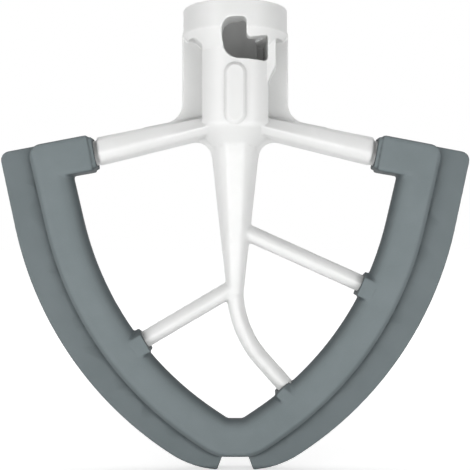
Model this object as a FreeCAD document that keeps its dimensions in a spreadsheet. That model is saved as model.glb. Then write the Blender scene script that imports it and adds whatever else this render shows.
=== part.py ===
import FreeCAD, Part
import math
import os
import re

import Sketcher
from FreeCAD import Placement, Rotation, Vector

# Flat beater for a tilt-head stand mixer, in millimetres and degrees.
# The origin is the middle of the bore's mouth. +Z is up along the bore, +X is across the beater
# and -Y is the front, where the pin slot opens.
# A "reach" is a distance from the bore's axis along X, and a "drop" is a depth below the rim.

SIZES = {
    # Hub and column
    "hub_diameter": 32.2,
    "hub_ring_height": 7.9,
    "hub_cone_height": 5.6,
    "column_diameter": 25.4,
    "column_width": 20.0,
    "column_height": 36.5,
    "column_foot_height": 5.5,
    "column_foot_diameter": 15.0,
    "column_foot_radius": 2.5,
    "web_thickness": 3.0,
    "web_reach": 16.4,
    "web_top": 7.2,
    "web_flare_radius": 6.0,
    "pocket_top": 9.9,
    "pocket_corner_width": 2.4,
    "pocket_corner_height": 2.2,
    # Bore, keyway and pin slot
    "bore_diameter": 13.5,
    "bore_depth": 33.0,
    "keyway_angle": 33.0,
    "keyway_width": 6.4,
    "keyway_reach": 10.6,
    "slot_left": 3.95,
    "slot_right": 3.3,
    "slot_top": 5.2,
    "slot_side_drop": 10.3,
    "slot_heel_left": 2.9,
    "slot_bottom": 16.6,
    "slot_depth_start": 1.8,
    "slot_foot_reach": 9.8,
    "slot_foot_top": 11.1,
    "slot_foot_end_top": 9.8,
    "slot_foot_end_bottom": 17.0,
    "slot_corner_radius": 3.4,
    "slot_heel_radius": 4.8,
    "slot_small_radius": 1.2,
    "stop_wall": 2.3,
    "stop_bottom": 18.0,
    "stop_taper_height": 5.0,
    "stop_depth": 8.4,
    # Rib on the front of the column
    "rib_width": 6.2,
    "rib_top": 18.2,
    "rib_bottom": 36.4,
    "rib_proud": 1.1,
    "rib_chamfer": 0.7,
    "rib_end_flat": 0.02,
    # Arms
    "arm_root_reach": 6.0,
    "arm_root_drop": 35.5,
    "arm_root_height": 7.4,
    "arm_root_depth": 20.0,
    "arm_end_reach": 42.3,
    "arm_end_drop": 43.6,
    "arm_end_height": 9.1,
    "arm_end_depth": 9.0,
    "arm_slope": 10.8,
    "neck_height": 8.0,
    "neck_depth": 5.8,
    "neck_inset": 3.0,
    "crotch_reach": 13.2,
    "crotch_drop": 45.1,
    "crotch_thickness": 13.0,
    "crotch_chamfer": 5.5,
    # Stem
    "stem_top_drop": 33.0,
    "stem_top_width": 17.4,
    "stem_top_depth": 16.4,
    "stem_end_drop": 88.0,
    "stem_end_width": 5.4,
    "stem_end_depth": 6.0,
    # Struts and leg
    "bar_height": 5.6,
    "bar_depth": 6.0,
    "right_strut_drop": 67.1,
    "right_strut_slope": 24.2,
    "right_strut_length": 49.5,
    "left_strut_drop": 85.5,
    "left_strut_slope": 30.5,
    "left_strut_length": 38.5,
    "leg_start_drop": 82.0,
    "leg_bend_drop": 86.3,
    "leg_bend_end_reach": 8.4,
    "leg_bend_end_drop": 108.3,
    "leg_end_length": 17.0,
    # Rim inside the rubber
    "rim_width": 5.6,
    "rim_depth": 5.2,
    "rim_top_reach": 57.2,
    "rim_side_angle": 13.1,
    "rim_side_length": 20.0,
    "rim_lower_reach": 9.2,
    "rim_lower_drop": 129.0,
    "rim_bottom_drop": 132.4,
    "rim_bottom_radius": 8.5,
    # Rubber sleeve
    "sleeve_width": 11.5,
    "sleeve_depth": 10.6,
    "sleeve_inner_radius": 5.0,
    "sleeve_chamfer": 1.5,
    "sleeve_corner_radius": 4.0,
    "sleeve_bottom_drop": 137.8,
    # Rubber wings
    "wing_thickness": 3.2,
    "wing_top_length": 28.0,
    "wing_corner_radius": 2.8,
    "wing_side_angle": 12.1,
    "wing_side_length": 24.2,
    "wing_lower_reach": 19.7,
    "wing_lower_drop": 137.7,
    "wing_tip_reach": 5.6,
    "wing_tip_drop": 142.3,
    "notch_reach": 3.9,
    # Rubber collars on the arms
    "collar_reach": 44.6,
    "collar_drop": 44.4,
    "collar_height": 11.1,
    "collar_length": 14.0,
    "collar_corner_radius": 1.2,
    "lip_length": 1.2,
    "lip_height": 9.8,
    "lip_depth": 8.8,
    # Rubber collars on the struts and the leg
    "boot_height": 8.0,
    "boot_depth": 10.0,
    "boot_shoulder": 1.9,
    "boot_length": 7.0,
    "boot_edge_radius": 0.4,
    "right_boot_reach": 38.8,
    "left_boot_reach": 27.9,
    "leg_boot_height": 6.9,
    "leg_boot_shoulder": 3.2,
    "leg_boot_reach": 14.5,
    "leg_boot_drop": 116.3,
    "leg_boot_slope": 40.6,
}

# Corners of the moulded sections, as shares of half the depth and half the height.
BAR_CORNERS = ((0.0, 1.0), (0.66, 0.42), (1.0, -0.06), (0.72, -0.68), (0.0, -1.0))
ARM_CORNERS = ((0.0, 1.0), (0.66, 0.66), (1.0, -0.24), (0.72, -0.76), (0.0, -1.0))
STEM_CORNERS = ((0.0, 1.0), (0.62, 0.72), (1.0, 0.34), (1.0, -0.34), (0.62, -0.72), (0.0, -1.0))

doc = FreeCAD.newDocument("flat_beater")
sheet = doc.addObject("Spreadsheet::Sheet", "sizes")
for row, (size_name, size_value) in enumerate(SIZES.items(), start=1):
    sheet.set(f"A{row}", size_name)
    sheet.set(f"B{row}", str(size_value))
    sheet.setAlias(f"B{row}", size_name)
doc.recompute()


# Expressions

def cells(expression):
    """The expression with each size's name pointed at its cell."""
    return re.sub(r"[a-z]+(?:_[a-z]+)+", lambda name: "sizes." + name.group(), str(expression))


def number(expression):
    """The expression's value."""
    return float(sheet.evalExpression(cells(expression)))


def bind(item, **properties):
    """Binds an object's properties to expressions over the sizes."""
    for name, expression in properties.items():
        item.setExpression(name, cells(expression))


# Sketches

def plane(body, role):
    """One of the body's own origin planes."""
    return next(feature for feature in body.Origin.OriginFeatures if feature.Role == role)


def new_sketch(body, name, role):
    """A sketch on one of the body's origin planes."""
    sketch = body.newObject("Sketcher::SketchObject", name)
    sketch.AttachmentSupport = [(plane(body, role), "")]
    sketch.MapMode = "FlatFace"
    return sketch


def front_sketch(body, name, backset="0"):
    """A sketch seen from the front: its x is X and its y is Z; backset moves it towards +Y."""
    sketch = new_sketch(body, name, "XZ_Plane")
    sketch.setExpression("AttachmentOffset.Base.z", cells(f"-({backset})"))
    return sketch


def level_sketch(body, name, drop):
    """A sketch seen from above: its x is X and its y is Y, at a depth below the rim."""
    sketch = new_sketch(body, name, "XY_Plane")
    sketch.setExpression("AttachmentOffset.Base.z", cells(f"-({drop})"))
    return sketch


def section_sketch(body, name, x, z, tilt):
    """A sketch across a bar that points along +X, turned down by tilt: its x is Y and its y is upwards."""
    sketch = new_sketch(body, name, "YZ_Plane")
    sketch.AttachmentOffset = Placement(Vector(), Rotation(Vector(1, 0, 0), number(tilt)))
    sketch.setExpression("AttachmentOffset.Base.y", cells(z))
    sketch.setExpression("AttachmentOffset.Base.z", cells(x))
    sketch.setExpression("AttachmentOffset.Rotation.Angle", cells(tilt))
    return sketch


def hold(sketch, geometry, end, x, y):
    """Holds a point of a sketch at two expressions."""
    for kind, axis, expression in (("DistanceX", -2, x), ("DistanceY", -1, y)):
        value = number(expression)
        if abs(value) < 1e-9:
            sketch.addConstraint(Sketcher.Constraint("PointOnObject", geometry, end, axis))
            continue
        index = sketch.addConstraint(Sketcher.Constraint(kind, -1, 1, geometry, end, value))
        sketch.setExpression(f"Constraints[{index}]", cells(expression))


def hold_radius(sketch, arc, expression):
    """Holds an arc's radius at an expression."""
    index = sketch.addConstraint(Sketcher.Constraint("Radius", arc, number(expression)))
    sketch.setExpression(f"Constraints[{index}]", cells(expression))


def add_arc(sketch, start, heading, end):
    """Adds the arc from start to end that leaves start along heading; gives its index and its two ends' marks."""
    chord = end - start
    side = 1 if heading.cross(chord).z > 0 else -1
    inward = Vector(-heading.y, heading.x, 0) * side
    radius = chord.dot(chord) / (2 * chord.dot(inward))
    centre = start + inward * radius
    angles = [math.atan2(point.y - centre.y, point.x - centre.x) for point in (start, end)]
    marks = (1, 2)
    if side < 0:
        angles.reverse()
        marks = (2, 1)
    circle = Part.Circle(centre, Vector(0, 0, 1), radius)
    return sketch.addGeometry(Part.ArcOfCircle(circle, *angles), False), marks


def outline(sketch, corners, closed=True):
    """Straight edges from corner to corner; a corner is (x, y) or, where it is rounded, (x, y, radius)."""
    points = [Vector(number(corner[0]), number(corner[1]), 0) for corner in corners]
    count = len(corners)
    spans = count if closed else count - 1
    ways = [(points[(i + 1) % count] - points[i]).normalize() for i in range(spans)]
    cuts = [0.0] * count
    for i, corner in enumerate(corners):
        if len(corner) > 2:
            cuts[i] = number(corner[2]) * math.tan(ways[i - 1].getAngle(ways[i]) / 2)
    edges = []
    for i in range(spans):
        after = (i + 1) % count
        line = Part.LineSegment(points[i] + ways[i] * cuts[i], points[after] - ways[i] * cuts[after])
        edges.append(sketch.addGeometry(line, False))
    for i, corner in enumerate(corners):
        if cuts[i] > 0:
            round_corner(sketch, corner, edges[i - 1], edges[i], points[i], ways[i - 1], ways[i])
            continue
        if i == spans:
            hold(sketch, edges[-1], 2, *corner)
            continue
        hold(sketch, edges[i], 1, *corner)
        if closed or i > 0:
            sketch.addConstraint(Sketcher.Constraint("Coincident", edges[i - 1], 2, edges[i], 1))


def round_corner(sketch, corner, before, after, apex, way_in, way_out):
    """Rounds the corner between two edges, about a point that stays at the corner itself."""
    cut = number(corner[2]) * math.tan(way_in.getAngle(way_out) / 2)
    arc, marks = add_arc(sketch, apex - way_in * cut, way_in, apex + way_out * cut)
    sketch.addConstraint(Sketcher.Constraint("Tangent", before, 2, arc, marks[0]))
    sketch.addConstraint(Sketcher.Constraint("Tangent", arc, marks[1], after, 1))
    hold_radius(sketch, arc, corner[2])
    corner_point = sketch.addGeometry(Part.Point(apex), True)
    hold(sketch, corner_point, 1, corner[0], corner[1])
    sketch.addConstraint(Sketcher.Constraint("PointOnObject", corner_point, 1, before))
    sketch.addConstraint(Sketcher.Constraint("PointOnObject", corner_point, 1, after))


def moulded_section(sketch, corners, depth, height):
    """A section with a parting line top and bottom, drafted to the front and the back alike."""
    half = [(f"{x} * ({depth}) / 2", f"{y} * ({height}) / 2") for x, y in corners]
    mirrored = [(f"-{x} * ({depth}) / 2", f"{y} * ({height}) / 2") for x, y in corners[-2:0:-1]]
    outline(sketch, half + mirrored)


def box(sketch, depth, height, *radius):
    """A rectangle about the sketch's origin, with a radius or none at its corners."""
    signs = ((1, 1), (-1, 1), (-1, -1), (1, -1))
    outline(sketch, [(f"{x} * ({depth}) / 2", f"{y} * ({height}) / 2", *radius) for x, y in signs])


# Features

def pad(body, name, sketch, length, symmetric=False, reverse=False):
    """Adds the sketch's outline, drawn out along its normal."""
    feature = body.newObject("PartDesign::Pad", name)
    feature.Profile = sketch
    feature.SideType = "Symmetric" if symmetric else "One side"
    feature.Reversed = reverse
    bind(feature, Length=length)
    return finish_feature(body, feature)


def pocket(body, name, sketch, length, symmetric=False, reverse=False):
    """Cuts the sketch's outline out, and makes sure that it took something away."""
    before = body.Shape.Volume
    feature = body.newObject("PartDesign::Pocket", name)
    feature.Profile = sketch
    feature.SideType = "Symmetric" if symmetric else "One side"
    feature.Reversed = reverse
    bind(feature, Length=length)
    finish_feature(body, feature)
    if not body.Shape.Volume < before:
        raise RuntimeError(f"{name} cuts nothing")
    return feature


def loft(body, name, first, last):
    """Adds the solid between two sections."""
    feature = body.newObject("PartDesign::AdditiveLoft", name)
    feature.Profile = first
    feature.Sections = [last]
    feature.Ruled = True
    return finish_feature(body, feature)


def pipe(body, name, section, path):
    """Adds the section, swept along the path."""
    feature = body.newObject("PartDesign::AdditivePipe", name)
    feature.Profile = section
    feature.Spine = path
    return finish_feature(body, feature)


def mirror(body, name, features):
    """Repeats features on the other side of the beater."""
    feature = body.newObject("PartDesign::Mirrored", name)
    feature.Originals = features
    feature.MirrorPlane = (plane(body, "YZ_Plane"), [""])
    body.Tip = feature
    return finish_feature(body, feature)


def soften(body, name, kind, size, wanted):
    """Rounds or chamfers the edges whose middle point passes the test."""
    base = body.Tip
    edges = []
    for index, edge in enumerate(base.Shape.Edges, start=1):
        middle = edge.valueAt((edge.FirstParameter + edge.LastParameter) / 2)
        if wanted(edge, middle):
            edges.append(f"Edge{index}")
    feature = body.newObject(kind, name)
    feature.Base = (base, edges)
    bind(feature, **{"Radius" if kind.endswith("Fillet") else "Size": size})
    return finish_feature(body, feature)


def finish_feature(body, feature):
    """Works the feature out, and stops if it failed."""
    doc.recompute()
    if feature.State != ["Up-to-date"] or feature.Shape.isNull():
        raise RuntimeError(f"{feature.Name}: {feature.State}")
    return feature


# Lines that several pieces share

def along_arm(distance):
    """x and z of the point on the arm collar's axis, at a distance outwards from the collar's face."""
    x = f"(collar_reach + ({distance}) * cos(arm_slope))"
    z = f"(-collar_drop - ({distance}) * sin(arm_slope))"
    return x, z


RIM_TOP_DISTANCE = "((rim_top_reach - collar_reach) / cos(arm_slope))"
RIM_TOP_Z = along_arm(RIM_TOP_DISTANCE)[1]
SHOULDER_X = "(collar_reach + collar_height / 2 * sin(arm_slope))"
SHOULDER_Z = "(-collar_drop + collar_height / 2 * cos(arm_slope))"
BEND_X = "(rim_top_reach - rim_side_length * sin(rim_side_angle))"
BEND_Z = f"({RIM_TOP_Z} - rim_side_length * cos(rim_side_angle))"


def shoulder_line(x):
    """z of the sloping top edge that the collar, the sleeve and the wing share."""
    return f"({SHOULDER_Z} - (({x}) - {SHOULDER_X}) * tan(arm_slope))"


def arm_edge(x, side):
    """z of the arm's top edge (side 1) or bottom edge (side -1)."""
    root_z = f"(-arm_root_drop + {side} * arm_root_height / 2)"
    end_x = f"(arm_end_reach + {side} * arm_end_height / 2 * sin(arm_slope))"
    end_z = f"(-arm_end_drop + {side} * arm_end_height / 2 * cos(arm_slope))"
    return f"({root_z} + (({x}) - arm_root_reach) * ({end_z} - {root_z}) / ({end_x} - arm_root_reach))"


def stem_edge(drop):
    """x of the stem's right edge at a depth below the rim."""
    narrowing = "(stem_top_width - stem_end_width) / 2 / (stem_end_drop - stem_top_drop)"
    return f"(stem_top_width / 2 - (({drop}) - stem_top_drop) * {narrowing})"


def point(x, z):
    """The point at two expressions."""
    return Vector(number(x), number(z), 0)


def add_line(sketch, start, end):
    """Adds a line and gives its index."""
    return sketch.addGeometry(Part.LineSegment(start, end), False)


def join(sketch, kind, first, first_end, second, second_end):
    """Joins two ends, as a plain corner or tangent to each other."""
    sketch.addConstraint(Sketcher.Constraint(kind, first, first_end, second, second_end))


def draw_rim_path(sketch, overrun):
    """The rim's centreline: down the right side from its top end, and in to the middle of the bottom."""
    top_x = f"(rim_top_reach + ({overrun}) * sin(rim_side_angle))"
    top_z = f"({RIM_TOP_Z} + ({overrun}) * cos(rim_side_angle))"
    bend = point(BEND_X, BEND_Z)
    lower = point("rim_lower_reach", "-rim_lower_drop")
    heading = (bend - point(top_x, top_z)).normalize()
    side = add_line(sketch, point(top_x, top_z), bend)
    sweep, sweep_marks = add_arc(sketch, bend, heading, lower)
    chord = (lower - bend).normalize()
    heading = chord * (2 * heading.dot(chord)) - heading
    bottom = number("-rim_bottom_drop")
    apex = lower + heading * ((bottom - lower.y) / heading.y)
    inwards = Vector(-1, 0, 0)
    cut = number("rim_bottom_radius") * math.tan(heading.getAngle(inwards) / 2)
    slant = add_line(sketch, lower, apex - heading * cut)
    turn, turn_marks = add_arc(sketch, apex - heading * cut, heading, apex + inwards * cut)
    level = add_line(sketch, apex + inwards * cut, Vector(0, bottom, 0))
    hold(sketch, side, 1, top_x, top_z)
    hold(sketch, side, 2, BEND_X, BEND_Z)
    join(sketch, "Tangent", side, 2, sweep, sweep_marks[0])
    hold(sketch, sweep, sweep_marks[1], "rim_lower_reach", "-rim_lower_drop")
    join(sketch, "Tangent", sweep, sweep_marks[1], slant, 1)
    join(sketch, "Tangent", slant, 2, turn, turn_marks[0])
    join(sketch, "Tangent", turn, turn_marks[1], level, 1)
    hold_radius(sketch, turn, "rim_bottom_radius")
    sketch.addConstraint(Sketcher.Constraint("Horizontal", level))
    hold(sketch, level, 2, "0", "-rim_bottom_drop")


def rim_pipe(body, name, overrun, draw_section):
    """Sweeps a section down the right half of the rim's centreline; the section's y points out of the loop."""
    path = front_sketch(body, f"{name}_path")
    draw_rim_path(path, overrun)
    start_x = f"rim_top_reach + ({overrun}) * sin(rim_side_angle)"
    start_z = f"{RIM_TOP_Z} + ({overrun}) * cos(rim_side_angle)"
    section = section_sketch(body, f"{name}_section", start_x, start_z, "90 + rim_side_angle")
    draw_section(section)
    return pipe(body, name, section, path)


# The white frame: hub, arms, stem, struts, leg and the rim inside the rubber

def build_hub(body):
    """The ring, the cone under it, the column and its tapering foot, and the webs beside the column."""
    profile = front_sketch(body, "hub_profile")
    cone_drop = "hub_ring_height + hub_cone_height"
    foot_drop = "column_height + column_foot_height"
    outline(profile, [
        ("0", "0"),
        ("hub_diameter / 2", "0"),
        ("hub_diameter / 2", "-hub_ring_height"),
        ("column_diameter / 2", f"-({cone_drop})"),
        ("column_diameter / 2", "-column_height", "column_foot_radius"),
        ("column_foot_diameter / 2", f"-({foot_drop})"),
        ("0", f"-({foot_drop})"),
    ])
    hub = body.newObject("PartDesign::Revolution", "hub")
    hub.Profile = profile
    hub.ReferenceAxis = (profile, ["V_Axis"])
    hub.Angle = 360
    finish_feature(body, hub)
    pad(body, "webs", web_sketch(body), "web_thickness", symmetric=True)
    for name, backset, reverse in (
        ("front_pockets", "-web_thickness / 2", True),
        ("back_pockets", "web_thickness / 2", False),
    ):
        pocket(body, name, pocket_sketch(body, f"{name}_outline", backset), "hub_diameter", reverse=reverse)


def web_sketch(body):
    """The web's outline: about as wide as the hub, and flared where it meets the arms' top edges."""
    sketch = front_sketch(body, "web_outline")
    edge = "web_reach"
    flare_end = "web_reach + 2 * web_flare_radius"
    half = [
        (edge, "-web_top"),
        (edge, arm_edge(edge, 1), "web_flare_radius"),
        (flare_end, arm_edge(flare_end, 1)),
        (flare_end, f"{arm_edge(flare_end, 1)} / 2 + {arm_edge(flare_end, -1)} / 2"),
        (edge, "-column_height"),
    ]
    outline(sketch, half + mirrored_corners(half))
    return sketch


def mirrored_corners(corners):
    """The same corners on the other side, in the order that closes the outline."""
    return [(f"-({corner[0]})", *corner[1:]) for corner in reversed(corners)]


def pocket_sketch(body, name, backset):
    """The two pockets beside the column, open to the side."""
    sketch = front_sketch(body, name, backset)
    foot = "-(column_height + column_foot_height)"
    right = [
        ("column_width / 2", foot),
        ("column_width / 2", "-(pocket_top + pocket_corner_height)"),
        ("column_width / 2 + pocket_corner_width", "-pocket_top"),
        ("hub_diameter", "-pocket_top"),
        ("hub_diameter", foot),
    ]
    outline(sketch, right)
    outline(sketch, mirrored_corners(right))
    return sketch


def build_pin_stop(body):
    """The thickened wall at the end of the pin slot's foot, tapering into the column."""
    sketch = front_sketch(body, "pin_stop_outline")
    inner = "bore_diameter / 2"
    outer = "column_width / 2 + stop_wall"
    outline(sketch, [
        (inner, "-hub_ring_height"),
        (outer, "-hub_ring_height"),
        (outer, "-stop_bottom"),
        ("column_width / 2", "-(stop_bottom + stop_taper_height)"),
        (inner, "-(stop_bottom + stop_taper_height)"),
    ])
    pad(body, "pin_stop", sketch, "stop_depth")


def build_rib(body):
    """The raised rib with round ends on the front of the column."""
    sketch = front_sketch(body, "rib_outline")
    top = "-rib_top"
    bottom = "-rib_bottom"
    radius = "(rib_width - rib_end_flat) / 2"
    outline(sketch, [
        ("rib_width / 2", bottom, radius),
        ("rib_width / 2", top, radius),
        ("-rib_width / 2", top, radius),
        ("-rib_width / 2", bottom, radius),
    ])
    pad(body, "rib", sketch, "column_diameter / 2 + rib_proud")
    front = -number("column_diameter / 2 + rib_proud")
    soften(
        body, "rib_edge", "PartDesign::Chamfer", "rib_chamfer",
        lambda edge, middle: abs(middle.y - front) < 1e-6,
    )


def build_arm(body):
    """The right arm with its neck and its half of the rim, and then the same on the left."""
    root = section_sketch(body, "arm_root", "arm_root_reach", "-arm_root_drop", "0")
    moulded_section(root, ARM_CORNERS, "arm_root_depth", "arm_root_height")
    end = section_sketch(body, "arm_end", "arm_end_reach", "-arm_end_drop", "arm_slope")
    moulded_section(end, ARM_CORNERS, "arm_end_depth", "arm_end_height")
    arm = loft(body, "arm", root, end)
    neck_x, neck_z = along_arm("-neck_inset")
    neck_section = section_sketch(body, "neck_section", neck_x, neck_z, "arm_slope")
    moulded_section(neck_section, ARM_CORNERS, "neck_depth", "neck_height")
    neck = pad(body, "neck", neck_section, f"neck_inset + {RIM_TOP_DISTANCE} + rim_width / 2")
    rim = rim_pipe(body, "rim", "0", lambda section: box(section, "rim_depth", "rim_width"))
    mirror(body, "left_arm_and_rim", [arm, neck, rim])


def build_stem(body):
    """The stem, from inside the column down to the leg, and the webs in its corners with the arms."""
    top = level_sketch(body, "stem_top", "stem_top_drop")
    moulded_stem_section(top, "stem_top_width", "stem_top_depth")
    end = level_sketch(body, "stem_end", "stem_end_drop")
    moulded_stem_section(end, "stem_end_width", "stem_end_depth")
    loft(body, "stem", top, end)


def moulded_stem_section(sketch, width, depth):
    """The stem's section: parting lines at the sides and a flat at the front and the back."""
    quarter = [(f"{y} * ({width}) / 2", f"{x} * ({depth}) / 2") for x, y in STEM_CORNERS]
    others = [(x, f"-({y})") for x, y in quarter[-2:0:-1]]
    outline(sketch, [(x, y) for x, y in quarter + others])


def build_crotch(body):
    """The web in the corners between the arms and the stem: a hollow arc on each side, with chamfered edges."""
    web = doc.addObject("PartDesign::Body", "crotch_web")
    sketch = front_sketch(web, "crotch_outline")
    reach = "crotch_reach"
    foot = stem_edge("crotch_drop")
    arm_z = arm_edge(reach, -1)
    inner_z = f"(({arm_edge(reach, 1)} + {arm_z}) / 2)"
    aim_z = arm_edge(f"{reach} / 2", -1)
    arcs = []
    for sign in (1, -1):
        x = f"{sign} * {reach}"
        corner = point(x, arm_z)
        aim_end = point(f"{x} / 2", aim_z)
        side = add_line(sketch, point(x, inner_z), corner)
        aim = sketch.addGeometry(Part.LineSegment(corner, aim_end), True)
        arc, marks = add_arc(
            sketch, corner, (aim_end - corner).normalize(), point(f"{sign} * {foot}", "-crotch_drop")
        )
        hold(sketch, side, 1, x, inner_z)
        hold(sketch, side, 2, x, arm_z)
        join(sketch, "Coincident", aim, 1, side, 2)
        hold(sketch, aim, 2, f"{x} / 2", aim_z)
        join(sketch, "Tangent", aim, 1, arc, marks[0])
        hold(sketch, arc, marks[1], f"{sign} * {foot}", "-crotch_drop")
        arcs.append((side, arc, marks[1]))
    (right_side, right_arc, right_end), (left_side, left_arc, left_end) = arcs
    across = add_line(sketch, point(reach, inner_z), point(f"-{reach}", inner_z))
    join(sketch, "Coincident", across, 1, right_side, 1)
    join(sketch, "Coincident", across, 2, left_side, 1)
    under = add_line(sketch, point(foot, "-crotch_drop"), point(f"-{foot}", "-crotch_drop"))
    join(sketch, "Coincident", under, 1, right_arc, right_end)
    join(sketch, "Coincident", under, 2, left_arc, left_end)
    pad(web, "crotch_block", sketch, "crotch_thickness", symmetric=True)
    half = number("crotch_thickness / 2")
    soften(
        web, "crotch_edges", "PartDesign::Chamfer", "crotch_chamfer",
        lambda edge, middle: isinstance(edge.Curve, Part.Circle) and abs(abs(middle.y) - half) < 1e-6,
    )
    merged = body.newObject("PartDesign::Boolean", "crotch")
    merged.Type = "Fuse"
    merged.setObjects([web])
    body.Tip = merged
    finish_feature(body, merged)


def build_struts(body):
    """The two straight struts, each from the stem's middle to the rim's."""
    for side, tilt, reverse in (("right", "right_strut_slope", False), ("left", "-left_strut_slope", True)):
        section = section_sketch(body, f"{side}_strut_section", "0", f"-{side}_strut_drop", tilt)
        moulded_section(section, BAR_CORNERS, "bar_depth", "bar_height")
        pad(body, f"{side}_strut", section, f"{side}_strut_length", reverse=reverse)


def build_leg(body):
    """The leg: the stem's lower end, bent to the right and run straight to the rim."""
    path = front_sketch(body, "leg_path")
    start = point("0", "-leg_start_drop")
    bend = point("0", "-leg_bend_drop")
    bend_end = point("leg_bend_end_reach", "-leg_bend_end_drop")
    chord = (bend_end - bend).normalize()
    down = Vector(0, -1, 0)
    heading = chord * (2 * down.dot(chord)) - down
    upper = add_line(path, start, bend)
    arc, marks = add_arc(path, bend, down, bend_end)
    lower = add_line(path, bend_end, bend_end + heading * number("leg_end_length"))
    hold(path, upper, 1, "0", "-leg_start_drop")
    hold(path, upper, 2, "0", "-leg_bend_drop")
    join(path, "Tangent", upper, 2, arc, marks[0])
    hold(path, arc, marks[1], "leg_bend_end_reach", "-leg_bend_end_drop")
    join(path, "Tangent", arc, marks[1], lower, 1)
    length = path.addConstraint(Sketcher.Constraint("Distance", lower, number("leg_end_length")))
    path.setExpression(f"Constraints[{length}]", cells("leg_end_length"))
    section = section_sketch(body, "leg_section", "0", "-leg_start_drop", "90")
    moulded_section(section, BAR_CORNERS, "bar_depth", "bar_height")
    pipe(body, "leg", section, path)


def build_bore(body):
    """The shaft's bore, the keyway its cross pin goes down, and the slot that the pin turns and rises into."""
    bore_circle = level_sketch(body, "bore_circle", "0")
    circle = bore_circle.addGeometry(Part.Circle(Vector(), Vector(0, 0, 1), number("bore_diameter / 2")), False)
    bore_circle.addConstraint(Sketcher.Constraint("Coincident", circle, 3, -1, 1))
    hold_radius(bore_circle, circle, "bore_diameter / 2")
    pocket(body, "bore", bore_circle, "bore_depth")
    keyway = level_sketch(body, "keyway_outline", "0")
    outline(keyway, [
        turned_to_keyway("-keyway_width / 2", "0"),
        (*turned_to_keyway("-keyway_width / 2", "keyway_reach"), "slot_small_radius"),
        (*turned_to_keyway("keyway_width / 2", "keyway_reach"), "slot_small_radius"),
        turned_to_keyway("keyway_width / 2", "0"),
    ])
    pocket(body, "keyway", keyway, "slot_bottom")
    slot = front_sketch(body, "slot_outline", "-slot_depth_start")
    outline(slot, [
        ("-slot_left", "-slot_top", "slot_corner_radius"),
        ("slot_right", "-slot_top", "slot_small_radius"),
        ("slot_right", "-slot_foot_top", "slot_small_radius"),
        ("slot_foot_reach", "-slot_foot_end_top"),
        ("slot_foot_reach", "-slot_foot_end_bottom", "slot_small_radius"),
        ("-slot_heel_left", "-slot_bottom", "slot_heel_radius"),
        ("-slot_left", "-slot_side_drop"),
    ])
    pocket(body, "slot", slot, "hub_diameter / 2", reverse=True)


def turned_to_keyway(across, outwards):
    """x and y of a point of the keyway, which runs outwards from the axis, turned from the front to the right."""
    x = f"(({outwards}) * sin(keyway_angle) + ({across}) * cos(keyway_angle))"
    y = f"(({across}) * sin(keyway_angle) - ({outwards}) * cos(keyway_angle))"
    return x, y


def build_frame():
    """The whole white frame as one body."""
    body = doc.addObject("PartDesign::Body", "frame")
    body.Label = "beater_frame"
    build_hub(body)
    build_pin_stop(body)
    build_rib(body)
    build_arm(body)
    build_crotch(body)
    build_stem(body)
    build_struts(body)
    build_leg(body)
    build_bore(body)
    return body


# The grey rubber: sleeve, wings and collars

def build_sleeve(body):
    """The right half of the sleeve, rounder towards the loop, trimmed to the sloping top edge."""
    def draw_section(section):
        right = [
            ("sleeve_depth / 2 - sleeve_chamfer", "sleeve_width / 2"),
            ("sleeve_depth / 2", "sleeve_width / 2 - sleeve_chamfer"),
            ("sleeve_depth / 2", "-sleeve_width / 2", "sleeve_inner_radius"),
        ]
        outline(section, right + mirrored_corners(right))

    rim_pipe(body, "sleeve", "sleeve_width", draw_section)
    trim = front_sketch(body, "sleeve_trim_outline")
    near = "rim_top_reach - sleeve_width"
    corner_x, corner_z = sleeve_corner()
    side_x = f"({corner_x} - sleeve_width * sin(rim_side_angle))"
    side_z = f"({corner_z} - sleeve_width * cos(rim_side_angle))"
    far = f"({corner_x} + sleeve_width)"
    high = f"({corner_z} + 2 * sleeve_width)"
    outline(trim, [
        (near, shoulder_line(near)),
        (corner_x, corner_z, "sleeve_corner_radius"),
        (side_x, side_z),
        (far, side_z),
        (far, high),
        (near, high),
    ])
    pocket(body, "sleeve_trim", trim, "2 * sleeve_depth", symmetric=True)
    face = number("sleeve_depth / 2")
    soften(
        body, "sleeve_top_edges", "PartDesign::Fillet", "collar_corner_radius",
        lambda edge, middle: abs(abs(middle.y) - face) < 1e-6 and on_top_edge(middle),
    )
    bottom = front_sketch(body, "sleeve_bottom_outline")
    outline(bottom, [
        ("-sleeve_width", "-sleeve_bottom_drop"),
        ("sleeve_width", "-sleeve_bottom_drop"),
        ("sleeve_width", "-(sleeve_bottom_drop + sleeve_width)"),
        ("-sleeve_width", "-(sleeve_bottom_drop + sleeve_width)"),
    ])
    pocket(body, "sleeve_bottom", bottom, "2 * sleeve_depth", symmetric=True)


def on_top_edge(place):
    """Whether a place lies on the sloping top edge."""
    return abs(place.z - number(shoulder_line(place.x))) < 1e-4


def sleeve_corner():
    """x and z where the sloping top edge would meet the sleeve's outer side, if the corner weren't round."""
    side_x = "(rim_top_reach + sleeve_width / 2 * cos(rim_side_angle))"
    side_z = f"({RIM_TOP_Z} - sleeve_width / 2 * sin(rim_side_angle))"
    gap = f"({shoulder_line(side_x)} - {side_z})"
    rise = f"({gap} / (1 + tan(arm_slope) * tan(rim_side_angle)))"
    return f"({side_x} + {rise} * tan(rim_side_angle))", f"({side_z} + {rise})"


def build_arm_collar(body):
    """The collar that grips the arm's neck, and the smaller lip on its face."""
    for name, start, length, depth, height in (
        ("collar", "0", "collar_length", "sleeve_depth", "collar_height"),
        ("lip", "-lip_length", "2 * lip_length", "lip_depth", "lip_height"),
    ):
        x, z = along_arm(start)
        section = section_sketch(body, f"{name}_section", x, z, "arm_slope")
        box(section, depth, height, "collar_corner_radius")
        pad(body, name, section, length)


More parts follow.
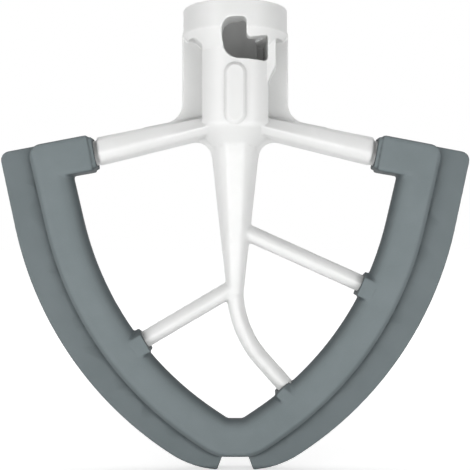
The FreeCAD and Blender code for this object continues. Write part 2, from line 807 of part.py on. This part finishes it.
def build_wing(body):
    """The right wing: the thin flat blade outside the sleeve."""
    sketch = front_sketch(body, "wing_outline")
    corner_x = f"({SHOULDER_X} + wing_top_length * cos(arm_slope))"
    corner_z = f"({SHOULDER_Z} - wing_top_length * sin(arm_slope))"
    bend_x = f"({corner_x} - wing_side_length * sin(wing_side_angle))"
    bend_z = f"({corner_z} - wing_side_length * cos(wing_side_angle))"
    notch_z = "-sleeve_bottom_drop"
    root = point("notch_reach", "-rim_bottom_drop")
    rim_lower = point("rim_lower_reach", "-rim_lower_drop")
    rim_bend = point(BEND_X, BEND_Z)
    rim_top = point("rim_top_reach", shoulder_line("rim_top_reach"))
    corner = point(corner_x, corner_z)
    bend = point(bend_x, bend_z)
    lower = point("wing_lower_reach", "-wing_lower_drop")
    tip = point("wing_tip_reach", "-wing_tip_drop")
    notch = point("notch_reach", notch_z)

    outwards = (corner - rim_top).normalize()
    down = (bend - corner).normalize()
    cut = number("wing_corner_radius") * math.tan(outwards.getAngle(down) / 2)
    chord = (lower - bend).normalize()
    along = chord * (2 * down.dot(chord)) - down

    inner_foot = add_line(sketch, root, rim_lower)
    inner_arc, inner_marks = add_arc(sketch, rim_bend, (rim_bend - rim_top).normalize(), rim_lower)
    inner_side = add_line(sketch, rim_bend, rim_top)
    top = add_line(sketch, rim_top, corner - outwards * cut)
    turn, turn_marks = add_arc(sketch, corner - outwards * cut, outwards, corner + down * cut)
    side = add_line(sketch, corner + down * cut, bend)
    sweep, sweep_marks = add_arc(sketch, bend, down, lower)
    toe, toe_marks = add_arc(sketch, lower, along, tip)
    notch_side = add_line(sketch, tip, notch)
    notch_rise = add_line(sketch, notch, root)
    apex = sketch.addGeometry(Part.Point(corner), True)

    hold(sketch, inner_foot, 1, "notch_reach", "-rim_bottom_drop")
    hold(sketch, inner_foot, 2, "rim_lower_reach", "-rim_lower_drop")
    join(sketch, "Coincident", inner_foot, 2, inner_arc, inner_marks[1])
    hold(sketch, inner_side, 1, BEND_X, BEND_Z)
    join(sketch, "Tangent", inner_arc, inner_marks[0], inner_side, 1)
    hold(sketch, inner_side, 2, "rim_top_reach", shoulder_line("rim_top_reach"))
    join(sketch, "Coincident", inner_side, 2, top, 1)
    join(sketch, "Tangent", top, 2, turn, turn_marks[0])
    join(sketch, "Tangent", turn, turn_marks[1], side, 1)
    hold_radius(sketch, turn, "wing_corner_radius")
    hold(sketch, apex, 1, corner_x, corner_z)
    sketch.addConstraint(Sketcher.Constraint("PointOnObject", apex, 1, top))
    sketch.addConstraint(Sketcher.Constraint("PointOnObject", apex, 1, side))
    hold(sketch, side, 2, bend_x, bend_z)
    join(sketch, "Tangent", side, 2, sweep, sweep_marks[0])
    hold(sketch, sweep, sweep_marks[1], "wing_lower_reach", "-wing_lower_drop")
    join(sketch, "Tangent", sweep, sweep_marks[1], toe, toe_marks[0])
    hold(sketch, toe, toe_marks[1], "wing_tip_reach", "-wing_tip_drop")
    join(sketch, "Coincident", toe, toe_marks[1], notch_side, 1)
    hold(sketch, notch_side, 2, "notch_reach", notch_z)
    join(sketch, "Coincident", notch_side, 2, notch_rise, 1)
    join(sketch, "Coincident", notch_rise, 2, inner_foot, 1)
    pad(body, "wing", sketch, "wing_thickness", symmetric=True)


def build_boots(body):
    """The short collars where the struts and the leg go into the rubber."""
    right_z = "-(right_strut_drop + right_boot_reach * tan(right_strut_slope))"
    left_z = "-(left_strut_drop + left_boot_reach * tan(left_strut_slope))"
    boots = (
        ("right_boot", "right_boot_reach", right_z, "right_strut_slope", False, "boot_height", "boot_shoulder"),
        ("left_boot", "-left_boot_reach", left_z, "-left_strut_slope", True, "boot_height", "boot_shoulder"),
        ("leg_boot", "leg_boot_reach", "-leg_boot_drop", "leg_boot_slope", False,
         "leg_boot_height", "leg_boot_shoulder"),
    )
    for name, x, z, tilt, reverse, height, shoulder in boots:
        section = section_sketch(body, f"{name}_section", x, z, tilt)
        outline(section, [
            ("0", f"{height} / 2", "boot_edge_radius"),
            ("boot_depth / 2", f"{height} / 2 - {shoulder}", "boot_edge_radius"),
            ("boot_depth / 2", f"-{height} / 2", "boot_edge_radius"),
            ("-boot_depth / 2", f"-{height} / 2", "boot_edge_radius"),
            ("-boot_depth / 2", f"{height} / 2 - {shoulder}", "boot_edge_radius"),
        ])
        pad(body, name, section, "boot_length", reverse=reverse)


def build_rubber(frame):
    """The rubber: its outer form, with the frame's rim, necks and bars taken out of it."""
    body = doc.addObject("PartDesign::Body", "rubber_form")
    build_sleeve(body)
    build_arm_collar(body)
    build_wing(body)
    half = body.newObject("PartDesign::Mirrored", "left_half")
    half.TransformMode = "Whole shape"
    half.MirrorPlane = (plane(body, "YZ_Plane"), [""])
    body.Tip = half
    finish_feature(body, half)
    build_boots(body)
    rubber = doc.addObject("Part::Cut", "rubber")
    rubber.Label = "flex_edge"
    rubber.Base = body
    rubber.Tool = frame
    doc.recompute()
    return rubber


frame = build_frame()
rubber = build_rubber(frame)

for item in doc.Objects:
    if "Invalid" in item.State or "Error" in item.State:
        raise RuntimeError(f"{item.Name}: {item.State}")
os.makedirs("parts", exist_ok=True)
for item in (frame, rubber):
    if item.Shape.isNull() or not item.Shape.isValid() or len(item.Shape.Solids) != 1:
        raise RuntimeError(f"{item.Label} is not one valid solid")
    item.Shape.exportStep(f"parts/{item.Label}.step")
    print(item.Label, round(item.Shape.Volume), "cubic mm", len(item.Shape.Faces), "faces")
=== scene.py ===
"""Dresses the stand mixer beater: moulded edges, white plastic, grey rubber and a white studio."""
import math

import bmesh
import bpy
import numpy as np
from mathutils import Euler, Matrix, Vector
from mathutils.bvhtree import BVHTree


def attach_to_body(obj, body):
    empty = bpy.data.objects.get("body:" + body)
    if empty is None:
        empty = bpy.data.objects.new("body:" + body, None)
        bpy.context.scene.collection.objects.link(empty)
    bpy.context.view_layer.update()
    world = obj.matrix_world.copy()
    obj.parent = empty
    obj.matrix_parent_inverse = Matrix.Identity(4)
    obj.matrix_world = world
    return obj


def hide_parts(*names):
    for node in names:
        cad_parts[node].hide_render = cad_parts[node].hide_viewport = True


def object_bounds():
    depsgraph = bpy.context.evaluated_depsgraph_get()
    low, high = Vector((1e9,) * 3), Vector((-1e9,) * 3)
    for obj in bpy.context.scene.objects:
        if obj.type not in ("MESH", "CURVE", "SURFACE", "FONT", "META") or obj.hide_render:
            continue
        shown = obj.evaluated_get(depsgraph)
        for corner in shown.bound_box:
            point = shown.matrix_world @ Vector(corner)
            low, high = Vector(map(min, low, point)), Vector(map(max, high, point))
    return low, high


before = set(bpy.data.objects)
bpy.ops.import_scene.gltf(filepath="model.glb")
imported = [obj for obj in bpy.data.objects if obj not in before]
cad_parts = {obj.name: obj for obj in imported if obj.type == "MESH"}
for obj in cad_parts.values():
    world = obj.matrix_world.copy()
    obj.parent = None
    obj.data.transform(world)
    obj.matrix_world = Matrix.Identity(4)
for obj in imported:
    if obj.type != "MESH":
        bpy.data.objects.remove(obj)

CAD_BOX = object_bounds()
MM = 0.001

# Camera, level and square to the front. The photograph is 470 px square.
PHOTO_HALF_WIDTH_PX = 235.0
PHOTO_DISTANCE_PX = 930.0
CAMERA_PLACE = (-0.06 * MM, -289.4 * MM, -69.6 * MM)
SENSOR_WIDTH = 36.0
CLIP_START = 0.01
CLIP_END = 20.0

# Moulded edges. The solids are remeshed at an angle, so that no edge runs along the voxels.
REMESH_TURN = Euler((math.radians(33.0), math.radians(21.0), math.radians(40.0))).to_matrix().to_4x4()
WELD_DISTANCE = 0.002 * MM
VOXEL = 0.28 * MM
TRIANGLES = 180000

# Rounds of softening. Each number is the share of the way to the mean of the neighbours,
# and a negative one leads away from it.
EDGE_SOFTENING = (0.5,) * 8 + (0.5, -0.53) * 6
CORNER_SOFTENING = (0.5,) * 30
FRAME_SHADING = (0.5,) * 28
RUBBER_SHADING = (0.5,) * 6
RELIEF_SPREADING = (0.5,) * 12
RELIEF_SOFTENING = (0.5,) * 4

# The solid's place or normal is taken in full up to the first angle between mesh and solid,
# and not at all from the second on.
PLACE_ANGLES = (math.radians(4.0), math.radians(10.0))
NORMAL_ANGLES = (math.radians(13.0), math.radians(24.0))

# The hub's radius and lower end. Within them fine details keep their own shading.
HUB_REACH = 18.0 * MM
HUB_LOW = -37.0 * MM
HUB_RAMP = 4.0 * MM

# The slot's foot runs further back than the plain solid's, whose wall there is flat
FOOT_WALL = -1.8 * MM
FOOT_WALL_TOLERANCE = 2 * VOXEL
FOOT_SIDES = (5.6 * MM, 9.75 * MM)
FOOT_HEIGHTS = (-16.9 * MM, -9.9 * MM)
FOOT_RAMP = 0.7 * MM
FOOT_DEEPENING = 5.0 * MM

# The inner corners where the rubber turns off the arms, and the thin lip where the leg goes in, as x and z
CORNER_PLACES = ((-49.9 * MM, -52.1 * MM), (49.9 * MM, -52.1 * MM), (16.7 * MM, -114.8 * MM))
CORNER_REACH = 4.0 * MM
CORNER_RAMP = 2.0 * MM

# Colours, as red, green, blue and alpha
WHITE = (1.0, 1.0, 1.0, 1.0)
PLASTIC_DIM = (0.83, 0.835, 0.825, 1.0)
PLASTIC_BRIGHT = (0.86, 0.86, 0.855, 1.0)
# The worn colour lightens raised edges: partly wear, partly a painted highlight
PLASTIC_WORN_AND_HIGHLIGHT = (0.93, 0.93, 0.925, 1.0)
# Painted shade: the hollow colour goes in hollows, the crevice colour in crevices
PLASTIC_HOLLOW_PAINTED_SHADE = (0.62, 0.625, 0.61, 1.0)
PLASTIC_CREVICE_PAINTED_SHADE = (0.45, 0.455, 0.45, 1.0)
RUBBER_DIM = (0.177, 0.209, 0.217, 1.0)
RUBBER_BRIGHT = (0.192, 0.225, 0.234, 1.0)
RUBBER_SPECK = (0.25, 0.28, 0.29, 1.0)
# Painted shade: the hollow colour goes in hollows, the dark colour in crevices, on the wings and on the
# sides
RUBBER_HOLLOW_PAINTED_SHADE = (0.06, 0.072, 0.076, 1.0)
RUBBER_PAINTED_SHADE = (0.05, 0.06, 0.064, 1.0)

# The values where an effect begins and where it is in full
NOISE_RANGE = (0.3, 0.7)
# Over the wear relief raised edges lighten, partly as wear and partly as a painted highlight
PLASTIC_WEAR_AND_HIGHLIGHT_RELIEF = (0.04, 0.14)
PLASTIC_POLISH_RELIEF = (0.02, 0.08)
# Where the hollow and crevice colours come in, as painted shade
PLASTIC_HOLLOW_PAINTED_SHADE_RELIEF = (-0.04, -0.14)
PLASTIC_CREVICE_PAINTED_SHADE_OPENNESS = (0.92, 0.6)
RUBBER_SPECK_RANGE = (0.56, 0.78)
# Where the rubber's painted shade comes in: hollows, crevices, sides turned away from the front, thin
# recessed wings
RUBBER_HOLLOW_PAINTED_SHADE_RELIEF = (-0.02, -0.12)
RUBBER_CREVICE_PAINTED_SHADE_OPENNESS = (0.85, 0.45)
RUBBER_PAINTED_SIDE_SHADE_FACING = (0.85, 0.25)
RUBBER_PAINTED_WING_SHADE_DEPTH = (4.0 * MM, 2.5 * MM)

RUBBER_SPECULAR = 0.2
OCCLUSION_SAMPLES = 8

# Light. Each lamp has its name, its place, its size, its power in watts and the place that it faces.
MIDDLE = (0.0, 0.0, -70.0 * MM)
LAMPS = (
    ("left", (-0.55, -0.55, -0.1), (0.35, 0.5), 3.05, MIDDLE),
    ("right", (0.55, -0.55, -0.1), (0.35, 0.5), 2.55, MIDDLE),
    ("left_strip", (-0.72, -0.26, -0.1), (0.08, 0.5), 0.6, MIDDLE),
    ("right_strip", (0.75, -0.03, -0.05), (0.08, 0.5), 0.3, MIDDLE),
    ("top", (0.0, 0.15, 0.6), (0.4, 0.3), 1.6, MIDDLE),
    ("low", (0.0, -0.16, -0.137), (0.6, 0.14), 0.56, (0.0, 0.0, -0.06)),
)
AMBIENT = (0.09, 0.09, 0.09, 1.0)

# Floor. For the camera it also glows white, from FLOOR_LIFT near the beater to full strength at FLOOR_FAR.
FLOOR_COLOR = (0.8, 0.8, 0.8, 1.0)
FLOOR_ROUGHNESS = 0.9
FLOOR_LIFT = 0.6
FLOOR_REACH = 4.0
FLOOR_NEAR = 0.02
FLOOR_FAR = 0.3
FLOOR_DROP = 0.05 * MM


def add_camera():
    """The camera of the photograph."""
    data = bpy.data.cameras.new("camera")
    data.sensor_width = SENSOR_WIDTH
    data.lens = SENSOR_WIDTH / 2 * PHOTO_DISTANCE_PX / PHOTO_HALF_WIDTH_PX
    data.clip_start = CLIP_START
    data.clip_end = CLIP_END
    camera = bpy.data.objects.new("camera", data)
    camera.location = CAMERA_PLACE
    camera.rotation_euler = (math.radians(90.0), 0.0, 0.0)
    bpy.context.scene.collection.objects.link(camera)
    bpy.context.scene.camera = camera


def add_softbox(name, place, size, power, aim):
    """A rectangular lamp that faces a place."""
    data = bpy.data.lights.new(name, "AREA")
    data.shape = "RECTANGLE"
    data.size, data.size_y = size
    data.energy = power
    lamp = bpy.data.objects.new(name, data)
    lamp.location = place
    direction = Vector(aim) - Vector(place)
    lamp.rotation_euler = direction.to_track_quat("-Z", "Y").to_euler()
    bpy.context.scene.collection.objects.link(lamp)


# Meshes

def coordinates(mesh):
    """The places of the mesh's vertices, as rows of an array."""
    place = np.empty(len(mesh.vertices) * 3)
    mesh.vertices.foreach_get("co", place)
    return place.reshape(-1, 3)


def relaxed(mesh, values, steps):
    """Moves each vertex's row of values towards its neighbours' mean, by each of the steps in turn."""
    count = len(mesh.vertices)
    ends = np.empty(len(mesh.edges) * 2, dtype=int)
    mesh.edges.foreach_get("vertices", ends)
    first, second = ends.reshape(-1, 2).T
    neighbours = np.bincount(ends, minlength=count)
    values = values.copy()
    for step in steps:
        for column in values.T:
            total = np.bincount(first, column[second], count) + np.bincount(second, column[first], count)
            column += step * (total / neighbours - column)
    return values


def applied(piece):
    """Makes the modifiers' result the piece's own mesh."""
    graph = bpy.context.evaluated_depsgraph_get()
    mesh = bpy.data.meshes.new_from_object(piece.evaluated_get(graph))
    old = piece.data
    piece.modifiers.clear()
    piece.data = mesh
    bpy.data.meshes.remove(old)
    return mesh


def barycentric(place, a, b, c):
    """The weights of a triangle's three corners at a place on it."""
    ab, ac, ap = b - a, c - a, place - a
    d00, d01, d11 = ab.dot(ab), ab.dot(ac), ac.dot(ac)
    d20, d21 = ap.dot(ab), ap.dot(ac)
    size = d00 * d11 - d01 * d01
    if size <= 0.0:
        return (1.0, 0.0, 0.0)
    second = (d11 * d20 - d01 * d21) / size
    third = (d00 * d21 - d01 * d20) / size
    return (1.0 - second - third, second, third)


def soft_share(mesh):
    """0 on the hub with its fine details, and 1 on the plain forms away from it."""
    x, y, z = coordinates(mesh).T
    away = np.maximum(np.hypot(x, y) - HUB_REACH, HUB_LOW - z)
    return np.clip(away / HUB_RAMP, 0.0, 1.0)[:, None]


def agreement(angle, limits):
    """1 up to the first limit, falling to 0 at the second."""
    full, none = limits
    return min(max((none - angle) / (none - full), 0.0), 1.0)


def carry_surface(source, mesh, shading):
    """Gives the mesh the solid's exact places and normals wherever the two nearly agree.

    Away from the hub the normals are softened.
    """
    triangles = [tuple(face.vertices) for face in source.polygons]
    tree = BVHTree.FromPolygons([vertex.co for vertex in source.vertices], triangles)
    corner = np.empty(len(source.loops) * 3)
    source.corner_normals.foreach_get("vector", corner)
    corner = corner.reshape(-1, 3)
    places = []
    normals = []
    for vertex in mesh.vertices:
        place, _, index, _ = tree.find_nearest(vertex.co)
        face = source.polygons[index]
        ends = [source.vertices[i].co for i in face.vertices]
        weights = barycentric(place, *ends)
        exact = Vector(sum(w * corner[i] for w, i in zip(weights, face.loop_indices)))
        exact.normalize()
        angle = vertex.normal.angle(exact, math.pi)
        places.append(vertex.co.lerp(place, agreement(angle, PLACE_ANGLES)))
        normals.append(vertex.normal.lerp(exact, agreement(angle, NORMAL_ANGLES)).normalized())
    mesh.vertices.foreach_set("co", np.array(places).ravel())
    normals = np.array(normals)
    normals += soft_share(mesh) * (relaxed(mesh, normals, shading) - normals)
    normals /= np.linalg.norm(normals, axis=1)[:, None]
    mesh.polygons.foreach_set("use_smooth", [True] * len(mesh.polygons))
    mesh.normals_split_custom_set_from_vertices(normals)


def add_relief(mesh):
    """Stores how far each vertex stands out of (above 0) or lies in (below 0) its surroundings, in mm."""
    normals = np.empty(len(mesh.vertices) * 3)
    mesh.vertex_normals.foreach_get("vector", normals)
    place = coordinates(mesh)
    offset = place - relaxed(mesh, place, RELIEF_SPREADING)
    relief = np.sum(offset * normals.reshape(-1, 3), axis=1)[:, None] / MM
    relief = relaxed(mesh, relief, RELIEF_SOFTENING)
    attribute = mesh.attributes.new("relief", "FLOAT", "POINT")
    attribute.data.foreach_set("value", relief.ravel())


def deepened_foot(mesh):
    """Sinks the flat wall behind the slot's foot, ramping down inside its border."""
    place = coordinates(mesh)
    x, y, z = place.T
    left, right = FOOT_SIDES
    bottom, top = FOOT_HEIGHTS
    inside = np.minimum.reduce([x - left, right - x, z - bottom, top - z])
    ramp = np.clip(inside / FOOT_RAMP, 0.0, 1.0)
    y[:] += np.where(np.abs(y - FOOT_WALL) < FOOT_WALL_TOLERANCE, ramp * FOOT_DEEPENING, 0.0)
    mesh.vertices.foreach_set("co", place.ravel())


def rounded_corners(mesh):
    """Rounds the two inner corners where the rubber turns off the arms, and the lip round the leg."""
    place = coordinates(mesh)
    soft = relaxed(mesh, place, CORNER_SOFTENING)
    x, y, z = place.T
    distances = [np.hypot(x - corner_x, z - corner_z) for corner_x, corner_z in CORNER_PLACES]
    share = np.clip((CORNER_REACH - np.minimum.reduce(distances)) / CORNER_RAMP, 0.0, 1.0)[:, None]
    mesh.vertices.foreach_set("co", (place + share * (soft - place)).ravel())


def moulded(node, name, material, shaped, shading):
    """A copy of a CAD node with the round edges of a moulding, which stands for the node."""
    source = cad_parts[node].data
    data = source.copy()
    data.name = name
    mesh = bmesh.new()
    mesh.from_mesh(data)
    bmesh.ops.remove_doubles(mesh, verts=mesh.verts, dist=WELD_DISTANCE)
    mesh.to_mesh(data)
    mesh.free()
    data.transform(REMESH_TURN)
    piece = bpy.data.objects.new(name, data)
    bpy.context.scene.collection.objects.link(piece)
    remesh = piece.modifiers.new("remesh", "REMESH")
    remesh.mode = "VOXEL"
    remesh.voxel_size = VOXEL
    data = applied(piece)
    data.vertices.foreach_set("co", relaxed(data, coordinates(data), EDGE_SOFTENING).ravel())
    data.transform(REMESH_TURN.inverted())
    shaped(data)
    fewer = piece.modifiers.new("fewer_faces", "DECIMATE")
    fewer.ratio = min(TRIANGLES / sum(len(face.vertices) - 2 for face in data.polygons), 1.0)
    data = applied(piece)
    carry_surface(source, data, shading)
    add_relief(data)
    data.materials.clear()
    data.materials.append(material)
    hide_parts(node)
    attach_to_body(piece, "root")


# Material nodes

def new_material(name):
    """A material, with its node tree and its shader."""
    material = bpy.data.materials.new(name)
    material.use_nodes = True
    return material, material.node_tree, material.node_tree.nodes["Principled BSDF"]


def attach(tree, value, socket):
    """Links a socket, or sets a plain value."""
    if isinstance(value, bpy.types.NodeSocket):
        tree.links.new(value, socket)
    else:
        socket.default_value = value


def place_socket(tree):
    """The place on the object, in metres."""
    return tree.nodes.new("ShaderNodeTexCoord").outputs["Object"]


def noise(tree, size, detail=2.0, roughness=0.5):
    """Noise from 0 to 1 whose spots are about the given size, in metres."""
    texture = tree.nodes.new("ShaderNodeTexNoise")
    attach(tree, place_socket(tree), texture.inputs["Vector"])
    texture.inputs["Scale"].default_value = 1.0 / size
    texture.inputs["Detail"].default_value = detail
    texture.inputs["Roughness"].default_value = roughness
    return texture.outputs["Fac"]


def spread(tree, value, limits, start, end):
    """Maps the two limits onto start and end, and stops at both."""
    ranged = tree.nodes.new("ShaderNodeMapRange")
    attach(tree, value, ranged.inputs["Value"])
    ranged.inputs["From Min"].default_value = limits[0]
    ranged.inputs["From Max"].default_value = limits[1]
    ranged.inputs["To Min"].default_value = start
    ranged.inputs["To Max"].default_value = end
    return ranged.outputs["Result"]


def combined(tree, operation, first, second=0.0):
    """The result of a math operation on the first value, and on the second where it takes two."""
    math_node = tree.nodes.new("ShaderNodeMath")
    math_node.operation = operation
    attach(tree, first, math_node.inputs[0])
    attach(tree, second, math_node.inputs[1])
    return math_node.outputs["Value"]


def mixed(tree, factor, first, second):
    """The first colour, turning into the second as the factor goes to 1."""
    mix = tree.nodes.new("ShaderNodeMix")
    mix.data_type = "RGBA"
    attach(tree, factor, mix.inputs["Factor"])
    attach(tree, first, mix.inputs["A"])
    attach(tree, second, mix.inputs["B"])
    return mix.outputs["Result"]


def tinted(tree, color, other, value, limits, share):
    """The colour at the first limit, turning into the other by the given share at the second."""
    return mixed(tree, spread(tree, value, limits, start=0.0, end=share), color, other)


def bumped(tree, height, distance, strength):
    """Normals for a height from 0 to 1 that stands for the distance."""
    bump = tree.nodes.new("ShaderNodeBump")
    bump.inputs["Distance"].default_value = distance
    bump.inputs["Strength"].default_value = strength
    attach(tree, height, bump.inputs["Height"])
    return bump.outputs["Normal"]


def relief_socket(tree):
    """The relief stored on the mesh, in mm."""
    attribute = tree.nodes.new("ShaderNodeAttribute")
    attribute.attribute_name = "relief"
    return attribute.outputs["Fac"]


def openness(tree, distance):
    """1 on open surfaces, falling to 0 in crevices narrower than the distance."""
    occlusion = tree.nodes.new("ShaderNodeAmbientOcclusion")
    occlusion.samples = OCCLUSION_SAMPLES
    occlusion.inputs["Distance"].default_value = distance
    return occlusion.outputs["AO"]


def depth_size(tree, vector):
    """The size of a vector's part along Y, which runs from the front to the back."""
    parts = tree.nodes.new("ShaderNodeSeparateXYZ")
    attach(tree, vector, parts.inputs["Vector"])
    return combined(tree, "ABSOLUTE", parts.outputs["Y"])


def white_plastic():
    """Satin moulded plastic: faint clouding, painted shade in hollows and crevices, edges lighter (partly
    wear, partly a painted highlight) and polished by use, a fine eroded grain.
    """
    material, tree, shader = new_material("white_plastic")
    relief = relief_socket(tree)
    clouds = noise(tree, size=14.0 * MM)
    open_share = openness(tree, distance=14.0 * MM)
    color = tinted(tree, PLASTIC_DIM, PLASTIC_BRIGHT, clouds, NOISE_RANGE, share=1.0)
    # Raised edges turn lighter, partly as wear and partly as a painted highlight
    color = tinted(tree, color, PLASTIC_WORN_AND_HIGHLIGHT, relief, PLASTIC_WEAR_AND_HIGHLIGHT_RELIEF, share=0.7)
    # Painted shade in hollows and in crevices
    color = tinted(tree, color, PLASTIC_HOLLOW_PAINTED_SHADE, relief, PLASTIC_HOLLOW_PAINTED_SHADE_RELIEF, share=0.6)
    color = tinted(tree, color, PLASTIC_CREVICE_PAINTED_SHADE, open_share, PLASTIC_CREVICE_PAINTED_SHADE_OPENNESS, share=0.45)
    attach(tree, color, shader.inputs["Base Color"])
    smears = noise(tree, size=5.0 * MM, detail=4.0, roughness=0.6)
    roughness = spread(tree, smears, NOISE_RANGE, start=0.32, end=0.4)
    polish = spread(tree, relief, PLASTIC_POLISH_RELIEF, start=0.0, end=-0.04)
    attach(tree, combined(tree, "ADD", roughness, polish), shader.inputs["Roughness"])
    grain = noise(tree, size=0.6 * MM, detail=1.0)
    attach(tree, bumped(tree, grain, distance=0.002 * MM, strength=0.4), shader.inputs["Normal"])
    return material


def grey_rubber():
    """Matte rubber: soft clouding, fine specks, painted shade on the wings, the sides, hollows and
    crevices, a fine moulded grain.
    """
    material, tree, shader = new_material("grey_rubber")
    relief = relief_socket(tree)
    depth = depth_size(tree, place_socket(tree))
    facing = depth_size(tree, tree.nodes.new("ShaderNodeTexCoord").outputs["Normal"])
    clouds = noise(tree, size=9.0 * MM)
    specks = noise(tree, size=0.4 * MM, detail=2.0, roughness=0.6)
    open_share = openness(tree, distance=2.5 * MM)
    color = tinted(tree, RUBBER_DIM, RUBBER_BRIGHT, clouds, NOISE_RANGE, share=1.0)
    color = tinted(tree, color, RUBBER_SPECK, specks, RUBBER_SPECK_RANGE, share=0.2)
    # Painted shade on the recessed wings, on sides turned away from the front, in hollows and in crevices
    color = tinted(tree, color, RUBBER_PAINTED_SHADE, depth, RUBBER_PAINTED_WING_SHADE_DEPTH, share=0.22)
    color = tinted(tree, color, RUBBER_PAINTED_SHADE, facing, RUBBER_PAINTED_SIDE_SHADE_FACING, share=0.72)
    color = tinted(tree, color, RUBBER_HOLLOW_PAINTED_SHADE, relief, RUBBER_HOLLOW_PAINTED_SHADE_RELIEF, share=0.8)
    color = tinted(tree, color, RUBBER_PAINTED_SHADE, open_share, RUBBER_CREVICE_PAINTED_SHADE_OPENNESS, share=0.85)
    attach(tree, color, shader.inputs["Base Color"])
    shader.inputs["Specular IOR Level"].default_value = RUBBER_SPECULAR
    smears = noise(tree, size=4.0 * MM, detail=4.0, roughness=0.6)
    roughness = spread(tree, smears, NOISE_RANGE, start=0.56, end=0.7)
    attach(tree, roughness, shader.inputs["Roughness"])
    grain = noise(tree, size=0.3 * MM, detail=3.0, roughness=0.6)
    attach(tree, bumped(tree, grain, distance=0.01 * MM, strength=0.5), shader.inputs["Normal"])
    return material


# Studio

def seen_directly(tree):
    """1 for the rays that should find a white background, and 0 for the rays that carry light."""
    path = tree.nodes.new("ShaderNodeLightPath")
    seen = combined(tree, "MAXIMUM", path.outputs["Is Camera Ray"], path.outputs["Is Glossy Ray"])
    return combined(tree, "MAXIMUM", seen, path.outputs["Is Transmission Ray"])


def add_world():
    """White behind everything, and a dimmer grey for the light that it gives."""
    world = bpy.data.worlds.new("studio")
    bpy.context.scene.world = world
    world.use_nodes = True
    tree = world.node_tree
    color = mixed(tree, seen_directly(tree), AMBIENT, WHITE)
    attach(tree, color, tree.nodes["Background"].inputs["Color"])


def add_floor():
    """A plain floor under the beater, pale near it and white further off."""
    material, tree, shader = new_material("floor")
    shader.inputs["Base Color"].default_value = FLOOR_COLOR
    shader.inputs["Roughness"].default_value = FLOOR_ROUGHNESS
    shader.inputs["Specular IOR Level"].default_value = 0.0
    shader.inputs["Emission Color"].default_value = WHITE
    length = tree.nodes.new("ShaderNodeVectorMath")
    length.operation = "LENGTH"
    attach(tree, place_socket(tree), length.inputs[0])
    lift = spread(tree, length.outputs["Value"], (FLOOR_NEAR, FLOOR_FAR), start=FLOOR_LIFT, end=1.0)
    attach(tree, combined(tree, "MULTIPLY", lift, seen_directly(tree)), shader.inputs["Emission Strength"])
    mesh = bpy.data.meshes.new("floor")
    corners = [(x * FLOOR_REACH, y * FLOOR_REACH, 0.0) for x, y in ((-1, -1), (1, -1), (1, 1), (-1, 1))]
    mesh.from_pydata(corners, [], [(0, 1, 2, 3)])
    mesh.materials.append(material)
    floor = bpy.data.objects.new("floor", mesh)
    floor.location.z = CAD_BOX[0][2] - FLOOR_DROP
    bpy.context.scene.collection.objects.link(floor)


add_camera()
moulded("beater_frame", "white_frame", white_plastic(), deepened_foot, FRAME_SHADING)
moulded("flex_edge", "grey_rubber", grey_rubber(), rounded_corners, RUBBER_SHADING)
add_world()
add_floor()
for lamp_row in LAMPS:
    add_softbox(*lamp_row)
bpy.context.scene.view_settings.view_transform = "Standard"
